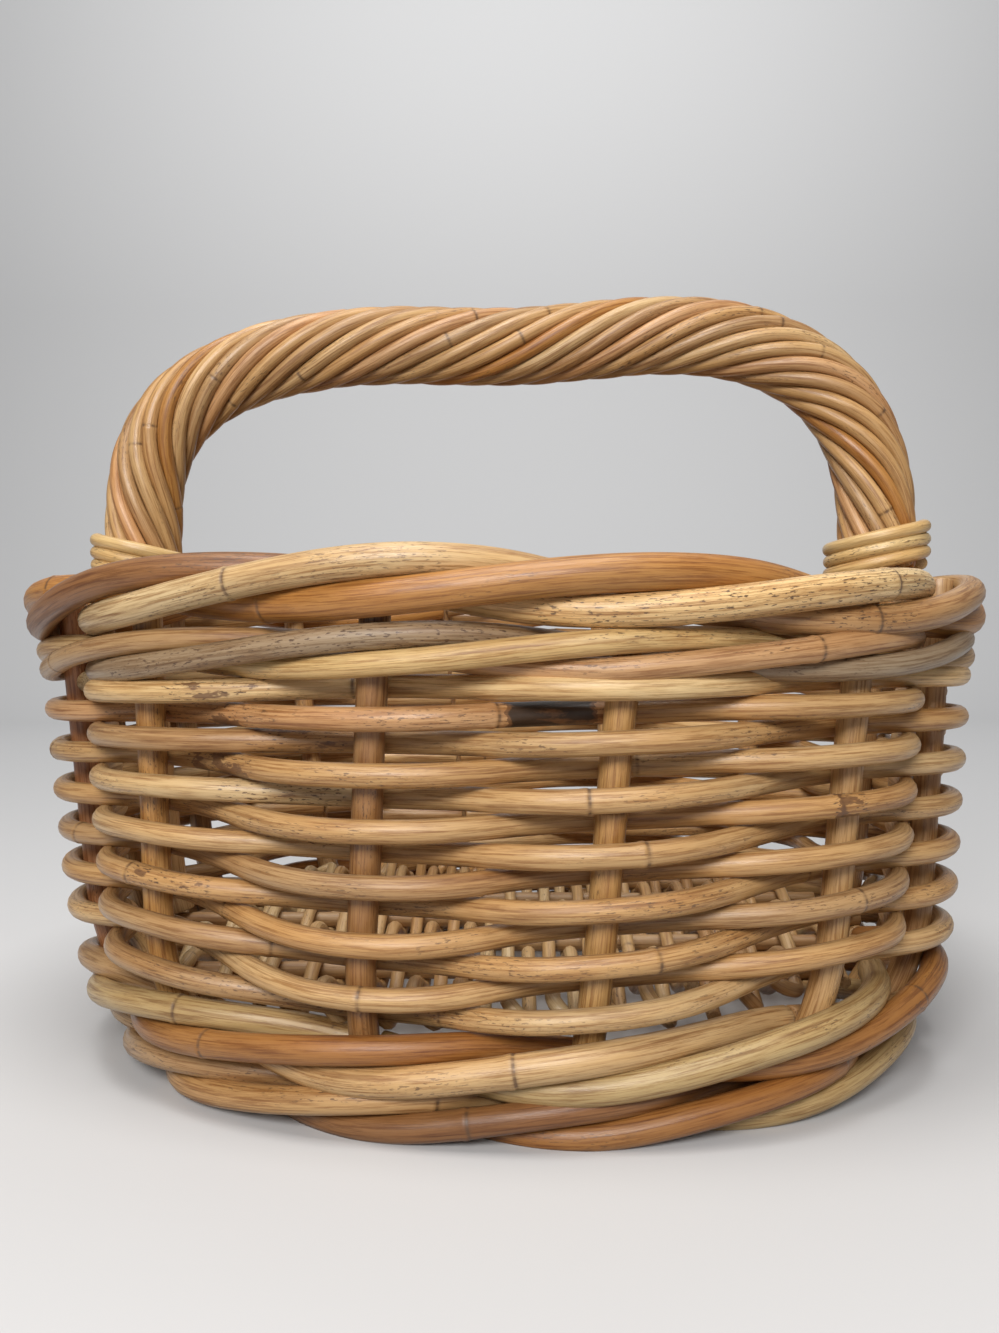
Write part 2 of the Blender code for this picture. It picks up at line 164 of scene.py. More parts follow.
# Where the mesh has extra rings beside a knot, in millimetres from it.
KNOT_RINGS = (-3.2, -1.6, -0.8, -0.3, 0.2, 0.7, 1.3, 2.6)
SCAR_WIDTH, SCAR_SHARE = 0.6 * MM, 0.05
SWELLING_WIDTH, SWELLING_SHARE = 1.7 * MM, 0.07
SWELLING_BESIDE_KNOT = 0.9 * MM
# A rod isn't quite even or quite round. Each share is how much, over about that length.
UNEVEN_LENGTH, UNEVEN_SHARE = 40 * MM, 0.05
FLATTENED_LENGTH, FLATTENED_SHARE = 50 * MM, 0.03
WAVE_LENGTH = 45 * MM
STAIN_EDGE = 4 * MM
SMOOTH_BELOW = math.radians(50)
# Every rod reads the grain at another place, so that no two look alike.
GRAIN_SHIFT = 0.73
rod_numbers = itertools.count(1)


def cut_rod(name, length, thickness, knots, tint, stains, taper, sides, spacing):
    """A straight length of rattan along X. It has a ringed scar at each knot, where a leaf grew.

    Its points keep what the material reads: their place before the rod is bent, the scars, the
    stains and the rod's own tone.
    """
    number = next(rod_numbers)
    bpy.ops.object.select_all(action="DESELECT")
    bpy.ops.mesh.primitive_cylinder_add(vertices=sides, radius=thickness / 2, depth=length,
                                        location=(length / 2, 0, 0), rotation=(0, math.pi / 2, 0))
    rod = bpy.context.object
    rod.name = name
    bpy.ops.object.transform_apply(location=True, rotation=True)
    bpy.ops.object.mode_set(mode="EDIT")
    bpy.ops.mesh.select_mode(type="EDGE")
    body = bmesh.from_edit_mesh(rod.data)
    for edge in body.edges:
        edge.select_set(abs(edge.verts[0].co.x - edge.verts[1].co.x) < END_ROUNDING)
    bpy.ops.mesh.bevel(offset=END_ROUNDING, segments=2)
    for knot in knots:
        for beside in KNOT_RINGS:
            if END_ROUNDING < knot + beside * MM < length - END_ROUNDING:
                bpy.ops.mesh.select_all(action="SELECT")
                bpy.ops.mesh.bisect(plane_co=(knot + beside * MM, 0, 0), plane_no=(1, 0, 0))
    # Each stretch between two rings is cut into shorter ones, so that the rod can bend.
    body = bmesh.from_edit_mesh(rod.data)
    spans = {(round(min(ends), 6), round(max(ends), 6))
             for ends in ([vertex.co.x for vertex in edge.verts] for edge in body.edges)}
    for start, end in sorted(spans):
        cuts = int((end - start) / spacing)
        if cuts > 0:
            body = bmesh.from_edit_mesh(rod.data)
            for edge in body.edges:
                near, far = sorted(vertex.co.x for vertex in edge.verts)
                edge.select_set(abs(near - start) < MM / 100 and abs(far - end) < MM / 100)
            bpy.ops.mesh.subdivide_edgering(number_cuts=cuts)
    bpy.ops.object.mode_set(mode="OBJECT")
    # The bare numbers beside a rod's number only take each rod to another part of the noise.
    straight, scars, stained = [], [], []
    for vertex in rod.data.vertices:
        x, y, z = vertex.co
        scar = sum(math.exp(-((x - knot) / SCAR_WIDTH) ** 2) for knot in knots)
        swell = sum(math.exp(-((x - knot + SWELLING_BESIDE_KNOT) / SWELLING_WIDTH) ** 2) for knot in knots)
        size = 1 + UNEVEN_SHARE * noise.noise(Vector((x / UNEVEN_LENGTH, number * 7.3, 0)))
        size += SWELLING_SHARE * swell - SCAR_SHARE * scar
        size *= taper(x / length)
        flat = 1 + FLATTENED_SHARE * noise.noise(Vector((x / FLATTENED_LENGTH, number * 3.1, 5)))
        vertex.co = (x, y * size * flat, z * size / flat)
        straight.extend((x + number * GRAIN_SHIFT, y, z))
        scars.append(min(1, scar))
        stained.append(max((strength * min(1, (x - low) / STAIN_EDGE, (high - x) / STAIN_EDGE)
                            for low, high, strength in stains), default=0))
    mesh = rod.data
    mesh.attributes.new("straight", "FLOAT_VECTOR", "POINT").data.foreach_set("vector", straight)
    mesh.attributes.new("scar", "FLOAT", "POINT").data.foreach_set("value", scars)
    mesh.attributes.new("stain", "FLOAT", "POINT").data.foreach_set("value", stained)
    colours = mesh.attributes.new("tint", "FLOAT_COLOR", "POINT")
    colours.data.foreach_set("color", (*tint, 1) * len(mesh.vertices))
    return rod


def bend_rod(rod, points):
    """Bends a straight rod along a line of points."""
    curve = bpy.data.curves.new("guide", "CURVE")
    curve.dimensions = "3D"
    spline = curve.splines.new("POLY")
    spline.points.add(len(points) - 1)
    for knot, point in zip(spline.points, points):
        knot.co = (*point, 1)
    guide = bpy.data.objects.new("guide", curve)
    bpy.context.scene.collection.objects.link(guide)
    bpy.ops.object.select_all(action="DESELECT")
    rod.select_set(True)
    bpy.context.view_layer.objects.active = rod
    bend = rod.modifiers.new("bend", "CURVE")
    bend.object = guide
    bend.deform_axis = "POS_X"
    bpy.ops.object.modifier_apply(modifier=bend.name)
    bpy.data.objects.remove(guide)
    bpy.data.curves.remove(curve)


def even(share):
    """The taper of a rod that is as thick at its ends as in its middle."""
    return 1


def lay_rod(name, path, start, end, steps, thickness, tint, knots=None, stains=(), taper=even,
            waviness=0.35 * MM, sides=ROD_SIDES, spacing=RING_SPACING):
    """Cuts a rod to fit the line from path(start) to path(end), and bends it along that line.

    knots gives the places of its knots, and leaves them to chance where it is None. stains gives the
    start, end and strength of its dark stretches. taper gives its thickness along its length.
    """
    points = [path(start + (end - start) * step / steps) for step in range(steps + 1)]
    line = Line(points)
    chance = random.Random(f"{name} {start:.3f} {thickness:.5f}")
    key = chance.uniform(0, 50)
    for index, point in enumerate(points):
        along = line.reach[index] / WAVE_LENGTH
        wave = Vector([noise.noise(Vector((along, key, axis * 9.0))) for axis in range(3)])
        points[index] = point + wave * waviness
    line = Line(points)

    def distance(place):
        along = (place - start) / (end - start) * steps
        index = min(max(int(along), 0), steps - 1)
        return line.reach[index] + (line.reach[index + 1] - line.reach[index]) * (along - index)

    where = []
    if knots is None:
        reached = KNOT_SPACING * chance.uniform(*FIRST_KNOT_SHARES)
        while reached < line.length - LAST_KNOT_FROM_END:
            where.append(reached)
            reached += KNOT_SPACING * chance.uniform(*NEXT_KNOT_SHARES)
    else:
        where = [distance(place) for place in knots if start < place < end]
    marks = [(distance(low), distance(high), strength) for low, high, strength in stains
             if high > start and low < end]
    rod = cut_rod(name, line.length, thickness, where, tint, marks, taper, sides, spacing)
    bend_rod(rod, points)
    return rod


def rattan(name, fibre, coat):
    """Lacquered rattan: fine fibres along the rod, slow changes of tone, specks and dark scars.

    fibre says how strong the fibres are, and coat how thick the lacquer is.
    """
    material = bpy.data.materials.new(name)
    material.use_nodes = True
    nodes, links = material.node_tree.nodes, material.node_tree.links
    shader = nodes["Principled BSDF"]
    shader.inputs["Coat Weight"].default_value = coat
    shader.inputs["Coat Roughness"].default_value = 0.2

    def attribute(word):
        node = nodes.new("ShaderNodeAttribute")
        node.attribute_name = word
        return node

    def grain(stretch, detail, roughness=0.55):
        """A noise drawn out along the rod. stretch is its scale along and across the rod."""
        mapping = nodes.new("ShaderNodeMapping")
        mapping.inputs["Scale"].default_value = (stretch[0], stretch[1], stretch[1])
        links.new(straight.outputs["Vector"], mapping.inputs["Vector"])
        texture = nodes.new("ShaderNodeTexNoise")
        texture.inputs["Scale"].default_value = 1
        texture.inputs["Detail"].default_value = detail
        texture.inputs["Roughness"].default_value = roughness
        links.new(mapping.outputs["Vector"], texture.inputs["Vector"])
        return texture.outputs["Fac"]

    def ramp(value, low, high, start=0.0, end=1.0):
        """Goes smoothly from start to end as the value goes from low to high."""
        node = nodes.new("ShaderNodeMapRange")
        node.interpolation_type = "SMOOTHSTEP"
        for word, number in zip(("From Min", "From Max", "To Min", "To Max"), (low, high, start, end)):
            node.inputs[word].default_value = number
        links.new(value, node.inputs["Value"])
        return node.outputs["Result"]

    def multiply(first, second):
        node = nodes.new("ShaderNodeMath")
        node.operation = "MULTIPLY"
        links.new(first, node.inputs[0])
        links.new(second, node.inputs[1])
        return node.outputs["Value"]

    def blend(factor, base, other, kind="MIX"):
        """Puts another colour over a base, as strongly as the factor says."""
        node = nodes.new("ShaderNodeMix")
        node.data_type = "RGBA"
        node.blend_type = kind
        sockets = {socket.identifier: socket for socket in (*node.inputs, *node.outputs)}
        links.new(factor, sockets["Factor_Float"])
        links.new(base, sockets["A_Color"])
        sockets["B_Color"].default_value = (*other, 1)
        return sockets["Result_Color"]

    straight = attribute("straight")
    tint = attribute("tint")
    fibres = grain((38, 1100), 5, 0.75)
    threads = grain((70, 2600), 2)
    coarse = grain((26, 480), 4)
    patches = grain((30, 120), 4)
    drift = grain((6, 22), 2)
    specks = grain((400, 1700), 3)
    where_specks = grain((16, 80), 2)
    # The rod's own tone drifts and has patches. Fibres, threads and cracks are drawn over it.
    colour = blend(ramp(drift, 0.38, 0.64, 0, 0.75), tint.outputs["Color"], (1.0, 0.86, 0.70), "MULTIPLY")
    colour = blend(ramp(patches, 0.44, 0.68, 0, 0.6), colour, (0.86, 0.76, 0.62), "MULTIPLY")
    colour = blend(ramp(fibres, 0.46, 0.62, 0, fibre), colour, (0.50, 0.37, 0.24), "MULTIPLY")
    colour = blend(ramp(threads, 0.50, 0.66, 0, 0.35), colour, (0.62, 0.50, 0.38), "MULTIPLY")
    colour = blend(ramp(coarse, 0.54, 0.68, 0, 0.6), colour, (0.52, 0.39, 0.26), "MULTIPLY")
    # Specks lie in some places only, and thickly on a stained stretch.
    stain = attribute("stain").outputs["Fac"]
    speckled = nodes.new("ShaderNodeMath")
    speckled.operation = "MAXIMUM"
    links.new(ramp(where_specks, 0.52, 0.63, 0, 0.75), speckled.inputs[0])
    links.new(ramp(stain, 0.02, 0.22, 0, 0.95), speckled.inputs[1])
    dirt = multiply(ramp(specks, 0.57, 0.65), speckled.outputs["Value"])
    colour = blend(dirt, colour, (0.09, 0.045, 0.022))
    scar = multiply(attribute("scar").outputs["Fac"], ramp(coarse, 0.32, 0.6, 0.2, 1.0))
    colour = blend(scar, colour, (0.10, 0.05, 0.022))
    # A strong stain has a ragged brown edge, and is black inside, as if burnt.
    stained = nodes.new("ShaderNodeMath")
    stained.operation = "ADD"
    links.new(stain, stained.inputs[0])
    links.new(ramp(grain((90, 260), 4), 0.3, 0.7, -0.25, 0.25), stained.inputs[1])
    colour = blend(ramp(stained.outputs["Value"], 0.50, 0.58, 0, 0.85), colour, (0.15, 0.068, 0.028))
    colour = blend(ramp(stained.outputs["Value"], 0.74, 0.92, 0, 0.9), colour, (0.035, 0.022, 0.014))
    links.new(colour, shader.inputs["Base Color"])
    links.new(ramp(coarse, 0.3, 0.7, 0.32, 0.54), shader.inputs["Roughness"])
    bump = nodes.new("ShaderNodeBump")
    bump.inputs["Strength"].default_value = 0.6
    bump.inputs["Distance"].default_value = 0.22 * MM
    links.new(fibres, bump.inputs["Height"])
    links.new(bump.outputs["Normal"], shader.inputs["Normal"])
    links.new(bump.outputs["Normal"], shader.inputs["Coat Normal"])
    return material


def fit_piece(node, rods, material):
    """Makes one piece of a node's rods, and lets it stand for that node."""
    bpy.ops.object.select_all(action="DESELECT")
    for rod in rods:
        rod.select_set(True)
    bpy.context.view_layer.objects.active = rods[0]
    if len(rods) > 1:
        bpy.ops.object.join()
    piece = bpy.context.object
    piece.name = node + "_rattan"
    bpy.ops.object.shade_smooth_by_angle(angle=SMOOTH_BELOW)
    piece.data.materials.clear()
    piece.data.materials.append(material)
    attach(piece, "root")
    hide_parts(node)
    return piece


stake_rattan = rattan("stake_rattan", 0.8, 0.15)
PALE = (0.60, 0.41, 0.20)
HONEY = (0.55, 0.345, 0.15)
TAN = (0.46, 0.285, 0.13)
DEEP_HONEY = (0.53, 0.32, 0.12)
DEEP_BROWN = (0.36, 0.20, 0.08)
DEEP_RED = (0.42, 0.20, 0.09)
STAKE_STEPS = 70
stake_tints = (DEEP_HONEY, HONEY, TAN, HONEY, TAN, HONEY, PALE,
               TAN, HONEY, TAN, HONEY, DEEP_RED, DEEP_HONEY, DEEP_BROWN)
for place, tint in enumerate(stake_tints):

    def up_the_wall(height, place=place):
        return wall_point(place, height)

    node = f"stake_{place + 1:02d}"
    stake = lay_rod(node, up_the_wall, STAKE_BOTTOM, STAKE_TOP, STAKE_STEPS, STAKE_THICKNESS, tint)
    fit_piece(node, [stake], stake_rattan)

# The foot and the lower band close the bottom of the wall. Three rods work together in each: every
# one passes in front of two stakes and behind the third, and rises over its neighbours as it goes.
WEAVE_CLEARANCE = 0.3 * MM
BUTT_GAP_SHARE = 0.012
BAND_STAKES = 3
STEPS_PER_STAKE = 30
FOOT_Z, FOOT_THICKNESS, FOOT_RISE = 9.1 * MM, 9.0 * MM, 9.4 * MM
LOWER_Z, LOWER_THICKNESS, LOWER_RISE = 28.6 * MM, 9.4 * MM, 10.2 * MM
# How far out of the wall's middle a band's rod lies, from a mean and two waves, and how far up.
BAND_OUT_SHARES = (1 / 3, -1.075, -0.258)
BAND_UP_SHARE = -0.577
BROWN = (0.27, 0.125, 0.042)
RUST = (0.36, 0.165, 0.045)
STRAW = (0.50, 0.36, 0.165)
# How far the weave strays up, in millimetres, at the eight stakes from the left end to the right end.
# The first number of a line is the height it holds for, and at the back nothing strays.
STRAY_STAKES = 8
STRAYS = ((10, (0, 0, 0, -1, -1.5, 0.5, 2, 1)),
          (29, (1, 1, 0, -4, -5, 0, 4, 2)),
          (46, (1, 2, 2, -8, -4.5, 3.5, 4.5, 2)),
          (138, (0, -1, 1, 2.5, 3, 4, 3.5, 2)),
          (150, (-1, -2, 0, 2, 0.5, 0, 0.5, 0)),
          (170, (-3, -4, 0, 3, -1, -4, -4, -2)))


def wander(place, height):
    """How far the weave strays up or down. Rods that lie close together stray together."""
    heights = [line[0] * MM for line in STRAYS]
    upper = min(max(bisect_right(heights, height), 1), len(heights) - 1)
    share = min(max((height - heights[upper - 1]) / (heights[upper] - heights[upper - 1]), 0), 1)
    left = STRAY_STAKES // 2
    level = [0] * (STAKE_COUNT - STRAY_STAKES)
    below, above = (smooth_value((*strays[left:], *level, *strays[:left]), place)
                    for _, strays in STRAYS[upper - 1:upper + 1])
    return (below + (above - below) * share) * MM


def band_path(height, thickness, rise, first):
    """The way of one rod of a band, in front of two stakes and behind the third."""
    reach = (STAKE_THICKNESS + thickness) / 2 + WEAVE_CLEARANCE

    def path(place):
        turn = 2 * math.pi * (place - first) / BAND_STAKES
        up = height + BAND_UP_SHARE * rise * math.sin(turn) + wander(place, height)
        mean, first_wave, second_wave = BAND_OUT_SHARES
        out = mean + first_wave * math.cos(turn) + second_wave * math.cos(2 * turn)
        return weave_point(place, up, reach * out)

    return path


def weave_band(name, material, height, thickness, rise, first_place, tints, looks):
    """A band of three rods, each made of several lengths that meet behind every third stake.

    looks gives a length's thickness, the places of its knots, its end and its dark stretches, by the
    stake it starts from. A dark stretch has its start, its end and how dark it is.
    """
    pieces = []
    for number in range(BAND_STAKES):
        path = band_path(height, thickness, rise, first_place + number)
        rods = []
        for start in range(first_place + number, first_place + STAKE_COUNT, BAND_STAKES):
            tint = tints[start - first_place]
            thick, knots, end, *stains = looks.get(start, (thickness, None, start + BAND_STAKES))
            rods.append(lay_rod(name, path, start + BUTT_GAP_SHARE, end - BUTT_GAP_SHARE,
                                BAND_STAKES * STEPS_PER_STAKE, thick, tint, knots, stains))
        pieces.append(fit_piece(f"{name}_rod_{number + 1}", rods, material))
    return pieces


def cut_level(piece):
    """Cuts the underside of a foot rod level, where the basket stands on it."""
    bpy.ops.object.select_all(action="DESELECT")
    piece.select_set(True)
    bpy.context.view_layer.objects.active = piece
    bpy.ops.object.mode_set(mode="EDIT")
    bpy.ops.mesh.select_all(action="SELECT")
    bpy.ops.mesh.bisect(plane_co=(0, 0, 0), plane_no=(0, 0, 1), use_fill=True, clear_inner=True)
    bpy.ops.object.mode_set(mode="OBJECT")


back = STAKE_COUNT // 2
band_rattan = rattan("band_rattan", 0.8, 0.15)
foot_tints = (TAN, HONEY, PALE, TAN, HONEY, BROWN, RUST, STRAW, RUST, HONEY, TAN, HONEY, PALE, RUST)
foot_looks = {12: (9.2 * MM, (13.5,), 15),
              13: (9.2 * MM, (15.2,), 16),
              14: (8.8 * MM, (16.2,), 17)}
for piece in weave_band("foot", band_rattan, FOOT_Z, FOOT_THICKNESS, FOOT_RISE, back,
                        foot_tints, foot_looks):
    cut_level(piece)
lower_tints = (HONEY, TAN, STRAW, RUST, PALE, STRAW, RUST, TAN, HONEY, PALE, TAN, HONEY, RUST, PALE)
lower_looks = {11: (9.3 * MM, (12.35,), 14),
               12: (9.8 * MM, (13.7,), 15),
               13: (9.8 * MM, (), 16),
               14: (9.4 * MM, (15.59,), 17)}
weave_band("lower_band", band_rattan, LOWER_Z, LOWER_THICKNESS, LOWER_RISE, back + 1,
           lower_tints, lower_looks)

# The side is woven in single rods, one to a row. Each goes in front of one stake and behind the
# next, the other way about from the row below, and the joins are hidden behind stakes.
SIDE_THICKNESS = 7.7 * MM
SIDE_ROWS = 13
FIRST_ROW_Z = 45.63 * MM
ROW_PITCH = 7.7 * MM
ROW_STRAY = 0.5 * MM
STAKES_TO_JOIN = 6
# How far out of the wall's middle a row lies, from two waves.
ROW_OUT_SHARES = (1.06, -0.06)
# The top row has a join that shows at the left end, where the cut end of one length pokes out.
JOIN_END, JOIN_START = 11.2, 11.44
POKE_START, POKE_STAKES = 10.95, 0.22
POKE = Vector((-6, -3, 3)) * MM
CREAM = (0.64, 0.48, 0.26)
PEACH = (0.56, 0.33, 0.155)
# A pale straw tone, painted paler than the rods' own colour. The extra paleness is painted light, making up
# for the shade that what lies above casts on the top side row and on the border's straw strand.
STRAW_WITH_PAINTED_LIGHT = (0.78, 0.57, 0.29)


def row_path(row):
    """The way of one side rod, in front of one stake and behind the next."""
    above = SIDE_ROWS - 1 - row
    height = FIRST_ROW_Z + ROW_PITCH * row
    reach = (STAKE_THICKNESS + SIDE_THICKNESS) / 2 + WEAVE_CLEARANCE

    def path(place):
        stray = wander(place, height) + ROW_STRAY * noise.noise(Vector((place * 0.8, row * 5.1, 0)))
        turn = math.pi * (place + above)
        out = ROW_OUT_SHARES[0] * math.cos(turn) + ROW_OUT_SHARES[1] * math.cos(3 * turn)
        return weave_point(place, height + stray, reach * out)

    return path


side_rattan = rattan("side_rattan", 0.8, 0.15)
# The tones of the two lengths of each row, from the bottom up. Below them, rows are counted from 1.
row_tints = ((TAN, PALE), (PALE, HONEY), (TAN, HONEY), (HONEY, TAN), (HONEY, HONEY),
             (TAN, HONEY), (PALE, HONEY), (HONEY, HONEY), (CREAM, PALE), (HONEY, PALE),
             # The top row is painted paler as painted light, against the shade of the upper band above it.
             (TAN, HONEY), (PEACH, HONEY), (STRAW_WITH_PAINTED_LIGHT, STRAW_WITH_PAINTED_LIGHT))
row_knots = {1: (13.35, 15.3), 3: (12.6, 14.2), 4: (12.4, 15.0), 5: (12.0, 14.9), 8: (14.85,), 9: (13.9,),
             10: (11.1, 14.1), 11: (15.2,), 12: (13.5, 16.1), 13: (12.9, 16.3)}
row_stains = {5: ((12.0, 12.4, 0.4),),
              8: ((14.8, 14.98, 0.6),),
              9: ((12.4, 12.9, 0.35),),
              10: ((12.15, 12.6, 0.55),),
              11: ((12.5, 12.9, 0.4),),
              12: ((13.5, 13.94, 1), (12.3, 12.6, 0.45)),
              13: ((12.2, 12.6, 0.4),)}
for row in range(SIDE_ROWS):
    above = SIDE_ROWS - 1 - row
    first = back + (back + above + 1) % 2
    middle = first + STAKES_TO_JOIN
    path = row_path(row)
    left_tint, right_tint = row_tints[row]
    lengths = [(first, middle, left_tint, path), (middle, first + STAKE_COUNT, right_tint, path)]
    if above == 0:

        def poke_out(place, path=path):
            return path(place) + POKE * min(max((place - POKE_START) / POKE_STAKES, 0), 1) ** 2

        lengths[0:1] = [(first, JOIN_END, CREAM, poke_out), (JOIN_START, middle, left_tint, path)]
    rods = []
    for start, end, tint, way in lengths:
        rods.append(lay_rod(f"row_{row}", way, start + BUTT_GAP_SHARE, end - BUTT_GAP_SHARE,
                            round((end - start) * STEPS_PER_STAKE), SIDE_THICKNESS, tint,
                            row_knots.get(row + 1), row_stains.get(row + 1, ())))
    fit_piece(f"side_rod_{row + 1:02d}", rods, side_rattan)

# Above the side come the upper band and, on top, the thick border, worked like the lower band.
# Their rods are the ones that show most, each of a tone of its own.
UPPER_Z, UPPER_THICKNESS, UPPER_RISE = 150.2 * MM, 7.9 * MM, 8.3 * MM
BORDER_Z, BORDER_THICKNESS, BORDER_RISE = 170.2 * MM, 10.4 * MM, 10.9 * MM
OLIVE = (0.68, 0.50, 0.235)
GREY = (0.34, 0.255, 0.16)
ORANGE = (0.46, 0.225, 0.06)
upper_tints = (HONEY, OLIVE, PALE, TAN, GREY, OLIVE, PEACH, GREY, HONEY, TAN, PALE, HONEY, TAN, HONEY)
upper_looks = {11: (8.2 * MM, (), 14, (11.9, 13.6, 0.22)),
               12: (7.9 * MM, (), 15),
               13: (7.9 * MM, (14.67,), 15.4),
               14: (7.8 * MM, (), 17)}
weave_band("upper_band", band_rattan, UPPER_Z, UPPER_THICKNESS, UPPER_RISE, back,
           upper_tints, upper_looks)
border_rattan = rattan("border_rattan", 0.85, 0.2)
# The border's straw strand is painted paler as painted light, against the shade of the strand above it.
border_tints = (HONEY, ORANGE, BROWN, CREAM, ORANGE, STRAW_WITH_PAINTED_LIGHT, TAN,
                ORANGE, CREAM, HONEY, TAN, PALE, HONEY, ORANGE)
border_looks = {10: (10.6 * MM, (), 13),
                11: (10.4 * MM, (12.53,), 14, (12.75, 13.3, 0.14)),
                12: (11.6 * MM, (12.62,), 15),
                13: (10.4 * MM, (14.96,), 16, (13.6, 15.6, 0.2)),
                14: (10.2 * MM, (14.92,), 17, (14.7, 15.0, 0.3))}
weave_band("border", border_rattan, BORDER_Z, BORDER_THICKNESS, BORDER_RISE, back + 1,
           border_tints, border_looks)

# The floor inside is a plain weave of thin rods, over and under five sticks that reach from end to
# end and rest on the rods of the lower band. Each thin rod makes a few passes, turning at the edge.
STICK_COUNT = 5
STICK_THICKNESS = 6.4 * MM
STICK_SPACING = 38 * MM
FLOOR_ROD_THICKNESS = 5.0 * MM
FLOOR_ROD_PITCH = 7.6 * MM
FLOOR_Z = 35.73 * MM
PASSES_PER_ROD = 5
STICK_STEPS = 20
HALF_TURN_STEPS = 6
FLOOR_EDGE_GAP = 1 * MM
FLOOR_INSET = (STAKE_THICKNESS + LOWER_THICKNESS) / 2 + LOWER_THICKNESS / 2 + FLOOR_EDGE_GAP
# The rods are pressed a little into the sticks where they cross them.
FLOOR_PRESS = 0.4 * MM
FLOOR_REACH = (STICK_THICKNESS + FLOOR_ROD_THICKNESS) / 2 - FLOOR_PRESS
floor_rattan = rattan("floor_rattan", 0.4, 0.1)


def floor_edge(x):
    """How far the floor reaches to the front and back at x, just inside the lower band."""
    half_width, half_depth = wall_half_sizes(FLOOR_Z)
    across = x / (half_width - FLOOR_INSET)
    return (half_depth - FLOOR_INSET) * max(0.0, 1 - abs(across) ** PLAN_EXPONENT) ** (1 / PLAN_EXPONENT)


stick_places = [(number - (STICK_COUNT - 1) / 2) * STICK_SPACING for number in range(STICK_COUNT)]
for number, y in enumerate(stick_places):
    node = f"floor_stick_{number + 1}"
    low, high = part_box(node)

    def along_stick(x, y=y):
        return Vector((x, y, FLOOR_Z))

    stick = lay_rod(node, along_stick, low.x, high.x, STICK_STEPS, STICK_THICKNESS, TAN)
    fit_piece(node, [stick], floor_rattan)


def floor_pass(number, middle, passes):
    """Points of one pass over and under the sticks, from one edge of the floor to the other."""
    x = middle + (number - (passes - 1) / 2) * FLOOR_ROD_PITCH
    edge = floor_edge(x)
    away = 1 if number % 2 else -1
    steps = max(4, round(edge / MM))
    points = []
    for step in range(steps + 1):
        y = away * edge * (2 * step / steps - 1)
        phase = math.pi * (y - stick_places[0]) / STICK_SPACING
        points.append(Vector((x, y, FLOOR_Z + away * FLOOR_REACH * math.cos(phase))))
    return points


low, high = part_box("floor_weaving_rod")
passes = int((high.x - low.x - FLOOR_ROD_THICKNESS) / FLOOR_ROD_PITCH) + 1
floor_tints = (CREAM, PALE, HONEY, CREAM, PALE, TAN, PALE)
rods = []
for first in range(0, passes, PASSES_PER_ROD):
    line = []
    for number in range(first, min(first + PASSES_PER_ROD, passes)):
        points = floor_pass(number, (low.x + high.x) / 2, passes)
        if line:
            centre = (line[-1] + points[0]) / 2
            out = math.copysign(FLOOR_ROD_PITCH / 2, points[0].y)
            half = (points[0] - line[-1]) / 2
            for step in range(1, HALF_TURN_STEPS):
                angle = math.pi * step / HALF_TURN_STEPS
                line.append(centre - half * math.cos(angle) + Vector((0, out * math.sin(angle), 0)))
        line.extend(points)
    strand = Line(line)
    rods.append(lay_rod(f"floor_{first}", strand.at, 0, strand.length, round(strand.length / MM),
                        FLOOR_ROD_THICKNESS, floor_tints[first // PASSES_PER_ROD % len(floor_tints)],
                        waviness=0.3 * MM, sides=10, spacing=2.2 * MM))
fit_piece("floor_weaving_rod", rods, floor_rattan)

# The handle is a stout bent core. Its ends go down inside the wall to the floor, and twelve thinner
# rods are wound round it, side by side, from one foot to the other. Each foot is lashed with three
# turns of another thin rod, just above the border.
HANDLE_THICKNESS = 31.8 * MM
HANDLE_ROD_THICKNESS = 6.0 * MM
HANDLE_RODS = 12
TWIST_PITCH = 164 * MM
TAIL_THICKNESS = 11 * MM
CORE_THICKNESS = 19.4 * MM
LEFT_ARCH_EXPONENT = 3.6
RIGHT_ARCH_EXPONENT = 3.0
ARCH_STEPS = 1200
HANDLE_TOP = 298 * MM
# The handle rises a little to the right, and sags by its middle.
HANDLE_SLOPE = 0.05
HANDLE_SAG, SAG_REACH, SAG_MIDDLE = 5.8 * MM, 55 * MM, 10 * MM
TAIL_STEPS = 12
TAIL_TOP_GAP = 3 * MM
CORE_ARCH_STEPS, CORE_STEPS, WINDING_STEPS = 120, 260, 200
CORE_TAPER_LENGTH = 3 * MM
HANDLE_HALF_SPAN = 153.75 * MM
HANDLE_FOOT_Z = 184.26 * MM
ARCH_HEIGHT = HANDLE_TOP - HANDLE_THICKNESS / 2 - HANDLE_FOOT_Z
handle_rattan = rattan("handle_rattan", 0.75, 0.15)


def handle_arch():
    """The middle of the handle, from its left foot to its right foot."""
    points = []
    for step in range(ARCH_STEPS + 1):
        angle = math.pi * (1 - step / ARCH_STEPS)
        exponent = RIGHT_ARCH_EXPONENT if math.cos(angle) > 0 else LEFT_ARCH_EXPONENT
        x = HANDLE_HALF_SPAN * signed_power(math.cos(angle), 2 / exponent)
        up = max(0.0, math.sin(angle)) ** (2 / exponent)
        sag = HANDLE_SAG * math.exp(-((x - SAG_MIDDLE) / SAG_REACH) ** 2)
        points.append(Vector((x, 0, HANDLE_FOOT_Z + (ARCH_HEIGHT + HANDLE_SLOPE * x) * up - sag)))
    return Line(points)


arch = handle_arch()


def arch_direction(distance):
    """Which way the handle runs at a distance from its left foot."""
    reach = 4 * MM
    low, high = max(distance - reach, 0), min(distance + reach, arch.length)
    return (arch.at(high) - arch.at(low)).normalized()


